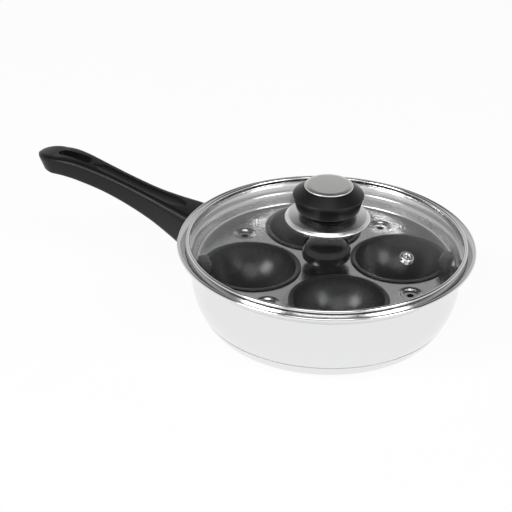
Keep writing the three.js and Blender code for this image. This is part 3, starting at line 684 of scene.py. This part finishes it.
knob_foot = [(0, 0), (17.3, 0), (17.3, 0.9, 0.3), (22.3, 2.9, 0.6)]
knob_side = [(24.3, 11.2, 0.2), (23.9, 11.7, 0.15), (25.0, 12.2, 0.25), (24.7, 13.1, 0.5)]
knob_top = [(17.0, 18.7, 0.3), (15.2, 18.7), (15.2, 17.3), (0, 17.3)]
knob_line = swept([*knob_foot, *knob_side, *knob_top], 6)
knob = turned("knob_grip", raised(knob_line, KNOB_BASE), KNOB_SIDES)
dress(knob, "lid", ["knob_body"])

cap_plug = [(0, -1.1), (14.9, -1.1), (14.9, 0.3)]
cap_disc = [(17.0, 0.3, 0.25), (17.0, 1.1, 0.5), (14.4, 1.85, 0.8), (0, 1.9)]
cap_line = swept([*cap_plug, *cap_disc], 6)
cap = turned("knob_disc", raised(cap_line, CAP_BASE), KNOB_SIDES)
dress(cap, "lid", ["knob_cap"])

# %% [markdown]
# ## Finishes
#
# Polished steel is mostly what it mirrors, so its detail is a trace of turning marks and a slight
# change of gloss. The resin has a fine pebble from its mould. The non-stick coat is dull with a faint
# speckle. All patterns read object coordinates, which are the same as world coordinates here, because
# every piece has its place in its mesh.

# %% Node helpers
PATTERN_RANGE = (0.3, 0.7)


def material(name, **values):
    """A new material with its shader's plain values set."""
    made = bpy.data.materials.new(name)
    made.use_nodes = True
    shader = made.node_tree.nodes["Principled BSDF"]
    for socket, value in values.items():
        shader.inputs[socket.replace("_", " ")].default_value = value
    return made


def node(made, kind, **values):
    """A new node, with its inputs or its own settings given by name."""
    new = made.node_tree.nodes.new(kind)
    for key, value in values.items():
        if key in new.inputs:
            new.inputs[key].default_value = value
        else:
            setattr(new, key, value)
    return new


def link(made, start, end):
    """Joins an output to an input."""
    made.node_tree.links.new(start, end)


def combined(made, operation, first, second):
    """One value out of two, which may be numbers or sockets."""
    maths = node(made, "ShaderNodeMath", operation=operation)
    for source, socket in zip((first, second), maths.inputs):
        if isinstance(source, (int, float)):
            socket.default_value = source
        else:
            link(made, source, socket)
    return maths.outputs["Value"]


def mixed(made, share, first, second):
    """Shows the first shader and, to the given share, the second."""
    blend = node(made, "ShaderNodeMixShader")
    for source, socket in zip((share, first, second), blend.inputs):
        link(made, source, socket)
    link(made, blend.outputs["Shader"], made.node_tree.nodes["Material Output"].inputs["Surface"])


def shader_of(made):
    """The main shader of a material."""
    return made.node_tree.nodes["Principled BSDF"]


def ranged(made, source, old, new, **settings):
    """Maps a value from one range to another, where a new end may be a value or a socket."""
    span = node(made, "ShaderNodeMapRange", **settings)
    link(made, source, span.inputs["Value"])
    for ends, values in (("From", old), ("To", new)):
        for end, value in zip(("Min", "Max"), values):
            socket = span.inputs[f"{ends} {end}"]
            if isinstance(value, (int, float)):
                socket.default_value = value
            else:
                link(made, value, socket)
    return span.outputs["Result"]


def spread(made, source, low, high):
    """Varies the roughness with a pattern, between two values."""
    link(made, ranged(made, source, PATTERN_RANGE, (low, high)), shader_of(made).inputs["Roughness"])


def pressed(made, source, strength, distance):
    """Makes a pattern stand up from the surface."""
    bump = node(made, "ShaderNodeBump", Strength=strength, Distance=distance * MM)
    link(made, source, bump.inputs["Height"])
    link(made, bump.outputs["Normal"], shader_of(made).inputs["Normal"])


def noise(made, vector, scale, detail=4):
    """A cloudy pattern, finer with a larger scale."""
    pattern = node(made, "ShaderNodeTexNoise", Scale=scale, Detail=detail)
    link(made, vector, pattern.inputs["Vector"])
    return pattern.outputs["Fac"]


def place_of(made):
    """Object coordinates."""
    return node(made, "ShaderNodeTexCoord").outputs["Object"]


def lathe_place(made):
    """Coordinates that only change with the radius and the height, for marks that run round."""
    parts = node(made, "ShaderNodeSeparateXYZ")
    link(made, place_of(made), parts.inputs["Vector"])
    flat = node(made, "ShaderNodeCombineXYZ")
    link(made, parts.outputs["X"], flat.inputs["X"])
    link(made, parts.outputs["Y"], flat.inputs["Y"])
    length = node(made, "ShaderNodeVectorMath", operation="LENGTH")
    link(made, flat.outputs["Vector"], length.inputs[0])
    marks = node(made, "ShaderNodeCombineXYZ")
    link(made, length.outputs["Value"], marks.inputs["X"])
    link(made, parts.outputs["Z"], marks.inputs["Z"])
    return marks.outputs["Vector"]


print("patterns are used between", PATTERN_RANGE)

# %% Polished and pressed steel
polished = material("mirror_steel", Base_Color=(0.8, 0.802, 0.805, 1), Metallic=1, Roughness=0.12)
rings = noise(polished, lathe_place(polished), 900, 3)
spread(polished, rings, 0.1, 0.16)
pressed(polished, rings, 0.06, 0.02)

tray_finish = material("tray_pressing", Base_Color=(0.56, 0.56, 0.56, 1), Metallic=1, Roughness=0.24)
grain = noise(tray_finish, place_of(tray_finish), 260, 5)
spread(tray_finish, grain, 0.16, 0.27)
pressed(tray_finish, grain, 0.08, 0.05)

satin = material("satin_plate", Base_Color=(0.78, 0.78, 0.78, 1), Metallic=1, Roughness=0.24)
shader_of(satin).inputs["Anisotropic"].default_value = 0.8
round_marks = node(satin, "ShaderNodeTangent", direction_type="RADIAL", axis="Z")
link(satin, round_marks.outputs["Tangent"], shader_of(satin).inputs["Tangent"])
spun_marks = noise(satin, lathe_place(satin), 1500, 3)
spread(satin, spun_marks, 0.2, 0.28)
pressed(satin, spun_marks, 0.08, 0.02)

brushed = material("brushed_cap", Base_Color=(0.78, 0.78, 0.77, 1), Metallic=1, Roughness=0.34)
stretch = node(brushed, "ShaderNodeMapping", Rotation=(0, 0, math.radians(-25)), Scale=(40, 2600, 2600))
link(brushed, place_of(brushed), stretch.inputs["Vector"])
strokes = noise(brushed, stretch.outputs["Vector"], 1, 4)
spread(brushed, strokes, 0.26, 0.42)
pressed(brushed, strokes, 0.5, 0.02)
print("metals:", [made.name for made in (polished, tray_finish, satin, brushed)])

# %% Resin, gloss black and non-stick
resin = material("moulded_resin", Base_Color=(0.006, 0.006, 0.0065, 1), Roughness=0.36)
shader_of(resin).inputs["Specular IOR Level"].default_value = 0.26
pebble = noise(resin, place_of(resin), 900, 3)
spread(resin, pebble, 0.31, 0.42)
pressed(resin, pebble, 0.12, 0.05)

gloss = material("gloss_black", Base_Color=(0.012, 0.012, 0.012, 1), Roughness=0.14)
ripple = noise(gloss, place_of(gloss), 120, 2)
spread(gloss, ripple, 0.11, 0.18)
pressed(gloss, ripple, 0.03, 0.1)

coat = material("non_stick_coat", Base_Color=(0.018, 0.018, 0.019, 1), Roughness=0.29)
speckle = noise(coat, place_of(coat), 1500, 4)
spread(coat, speckle, 0.26, 0.32)
pressed(coat, speckle, 0.06, 0.02)
print("dark finishes:", [made.name for made in (resin, gloss, coat)])

# %% Glass look
# Shadow and diffuse rays pass straight through, and so do glossy rays that no glass has bent before.
clear = material("clear_glass", Base_Color=(0.985, 0.992, 0.99, 1), Roughness=0, IOR=1.5)
shader_of(clear).inputs["Transmission Weight"].default_value = 1
pressed(clear, noise(clear, place_of(clear), 30, 1), 0.02, 0.1)
rays = node(clear, "ShaderNodeLightPath").outputs
dim = combined(clear, "MAXIMUM", rays["Is Shadow Ray"], rays["Is Diffuse Ray"])
mirrored = combined(clear, "SUBTRACT", rays["Is Glossy Ray"], rays["Is Transmission Ray"])
plain = combined(clear, "MAXIMUM", dim, mirrored)
through = node(clear, "ShaderNodeBsdfTransparent").outputs["BSDF"]
mixed(clear, plain, shader_of(clear).outputs["BSDF"], through)
print("nodes of the glass:", len(clear.node_tree.nodes))

# %% Hidden metals and the silicone
aluminium = material("cast_aluminium", Base_Color=(0.42, 0.43, 0.44, 1), Metallic=1, Roughness=0.45)
cast = noise(aluminium, place_of(aluminium), 400, 3)
spread(aluminium, cast, 0.4, 0.5)
brass = material("brass", Base_Color=(0.47, 0.29, 0.08, 1), Metallic=1, Roughness=0.35)
turning = noise(brass, place_of(brass), 700, 3)
spread(brass, turning, 0.28, 0.42)
rubber = material("silicone", Base_Color=(0.27, 0.28, 0.28, 1), Roughness=0.7)
dust = noise(rubber, place_of(rubber), 500, 3)
spread(rubber, dust, 0.62, 0.78)
print("finishes in all:", len(bpy.data.materials))

# %% Put the finishes on


def finish(piece, made):
    """Gives a piece one material."""
    piece.data.materials.clear()
    piece.data.materials.append(made)


for piece in (pan_body, base_disc, band, eyelet, *rivets):
    finish(piece, polished)
finish(flange, satin)
finish(tray, tray_finish)
finish(cap, brushed)
for piece in (handle, knob):
    finish(piece, resin)
for piece in (tray_knob, *grips):
    finish(piece, gloss)
for piece in cups:
    finish(piece, coat)
finish(glass, clear)

CARRIED = {
    "base_core": aluminium,
    "handle_bracket": polished,
    "handle_screw": polished,
    "tray_knob_insert": brass,
    "tray_knob_screw": polished,
    "tray_knob_washer": polished,
    "knob_insert": brass,
    "knob_screw": polished,
    "knob_washer": polished,
    "knob_gasket": rubber,
}
for name, made in CARRIED.items():
    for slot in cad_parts[name].material_slots:
        slot.material = made
print("carried CAD nodes with a finish:", len(CARRIED))

# %% [markdown]
# ## Floor and light
#
# The floor and the sky are plain and nearly white, because polished steel shows what is round it. Two
# soft boxes stand left and right of the camera. They give each cup and the ball knob their pair of
# highlights. A larger one hangs over the camera.

# %% Floor
# Most of what the rays see of it is its own glow, and the rest keeps the shadow.
FLOOR_SIZE, FLOOR_Z, FLOOR_GLOW = 8, -0.0002, 0.93

nothing_selected()
bpy.ops.mesh.primitive_plane_add(size=FLOOR_SIZE, location=(0, 0, FLOOR_Z))
floor = bpy.context.object
floor.name = "floor"
pale = material("pale_floor", Base_Color=(0.9, 0.9, 0.9, 1), Roughness=0.9)
grit = noise(pale, place_of(pale), 60, 3)
spread(pale, grit, 0.85, 0.95)
rays = node(pale, "ShaderNodeLightPath").outputs
direct = combined(pale, "MAXIMUM", rays["Is Camera Ray"], rays["Is Glossy Ray"])
seen = combined(pale, "MAXIMUM", direct, rays["Is Transmission Ray"])
share = combined(pale, "MULTIPLY", seen, FLOOR_GLOW)
glow = node(pale, "ShaderNodeEmission").outputs["Emission"]
mixed(pale, share, shader_of(pale).outputs["BSDF"], glow)
finish(floor, pale)
print("share of the floor's own glow:", FLOOR_GLOW)

# %% Sky
# Seen straight or through the glass it is white. What mirrors it sees it darken towards the top.
sky = bpy.data.worlds.new("sky")
bpy.context.scene.world = sky
sky.use_nodes = True
rays = node(sky, "ShaderNodeLightPath").outputs
seen = combined(sky, "MAXIMUM", rays["Is Camera Ray"], rays["Is Transmission Ray"])
parts = node(sky, "ShaderNodeSeparateXYZ")
link(sky, node(sky, "ShaderNodeTexCoord").outputs["Generated"], parts.inputs["Vector"])
heights, glows = (0.3, 0.78), (0.72, 0.05)
fading = ranged(sky, parts.outputs["Z"], heights, glows, interpolation_type="SMOOTHSTEP")
back = sky.node_tree.nodes["Background"]
back.inputs["Color"].default_value = (1, 1, 1, 1)
link(sky, ranged(sky, seen, (0, 1), (fading, 1)), back.inputs["Strength"])
print("glow of the sky from the horizon to the top:", glows)

# %% Soft boxes
TARGET = Vector((0, 0, 0.045))
FRONT = -65


def soft_box(name, azimuth, elevation, distance, size, power):
    """A square lamp at an angle round the pan, aimed at its middle."""
    lamp = bpy.data.lights.new(name, "AREA")
    lamp.shape = "SQUARE"
    lamp.size = size
    lamp.energy = power
    holder = bpy.data.objects.new(name, lamp)
    bpy.context.scene.collection.objects.link(holder)
    turn, rise = math.radians(azimuth), math.radians(elevation)
    away = Vector((math.cos(turn) * math.cos(rise), math.sin(turn) * math.cos(rise), math.sin(rise)))
    holder.location = TARGET + away * distance
    holder.rotation_euler = (-away).to_track_quat("-Z", "Y").to_euler()


soft_box("box_left", FRONT - 57, 44, 1.6, 0.6, 12)
soft_box("box_right", FRONT + 57, 42, 1.6, 0.7, 8)
soft_box("box_above", FRONT, 64, 1.8, 1.1, 9)
